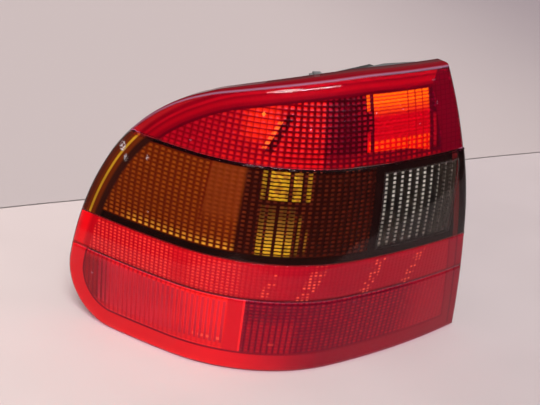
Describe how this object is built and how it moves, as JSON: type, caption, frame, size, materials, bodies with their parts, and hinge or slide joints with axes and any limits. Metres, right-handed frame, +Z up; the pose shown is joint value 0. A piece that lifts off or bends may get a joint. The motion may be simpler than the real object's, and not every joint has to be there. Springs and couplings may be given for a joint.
{
  "type": "tail light cluster",
  "caption": "Wrap-around rear lamp cluster: curved red, amber and smoked lens on a housing with reflectors, bulbs, carrier, seals and studs.",
  "frame": {"origin": "under the middle of the lamp, on the surface that its bottom edge rests on", "axes": "+Z up; -Y is the way the lens faces at the rear of the car; +Y is forwards; +X points inboard, so the side wing of the lens lies at -X"},
  "size_m": [0.2393, 0.1918, 0.2153],
  "materials": {
    "red_lens": "clear red moulded acrylic, glossy outside, optics inside",
    "amber_lens": "smoked amber moulded acrylic",
    "smoke_lens": "smoked clear moulded acrylic",
    "reflex_red": "red moulded reflex optics",
    "housing_plastic": "dark grey moulded plastic",
    "metallised": "vacuum metallised plastic",
    "carrier_plastic": "off-white moulded plastic",
    "foam": "closed-cell foam",
    "zinc_steel": "zinc plated steel",
    "strip_brass": "stamped brass strip",
    "cap_brass": "plated brass cap",
    "bulb_glass": "clear blown glass"
  },
  "bodies": {
    "root": {"lens_upper_red": "red_lens", "lens_amber": "amber_lens", "lens_reverse": "smoke_lens", "lens_lower_red": "red_lens", "reflex_panel": "reflex_red", "housing": "housing_plastic", "reflector_upper": "metallised", "reflector_indicator": "metallised", "reflector_reverse": "metallised", "reflector_fog": "metallised", "carrier_seal": "foam", "bulb_carrier": "carrier_plastic", "body_seal": "foam", "mounting_studs": "zinc_steel", "ground_strip": "strip_brass", "stop_strip": "strip_brass", "tail_strip": "strip_brass", "indicator_strip": "strip_brass", "reverse_strip": "strip_brass", "fog_strip": "strip_brass", "stop_sleeve": "zinc_steel", "stop_bulb_cap": "cap_brass", "stop_bulb_glass": "bulb_glass", "tail_sleeve": "zinc_steel", "tail_bulb_cap": "cap_brass", "tail_bulb_glass": "bulb_glass", "indicator_sleeve": "zinc_steel", "indicator_bulb_cap": "cap_brass", "indicator_bulb_glass": "bulb_glass", "reverse_sleeve": "zinc_steel", "reverse_bulb_cap": "cap_brass", "reverse_bulb_glass": "bulb_glass", "fog_sleeve": "zinc_steel", "fog_bulb_cap": "cap_brass", "fog_bulb_glass": "bulb_glass"}
  },
  "joints": []
}
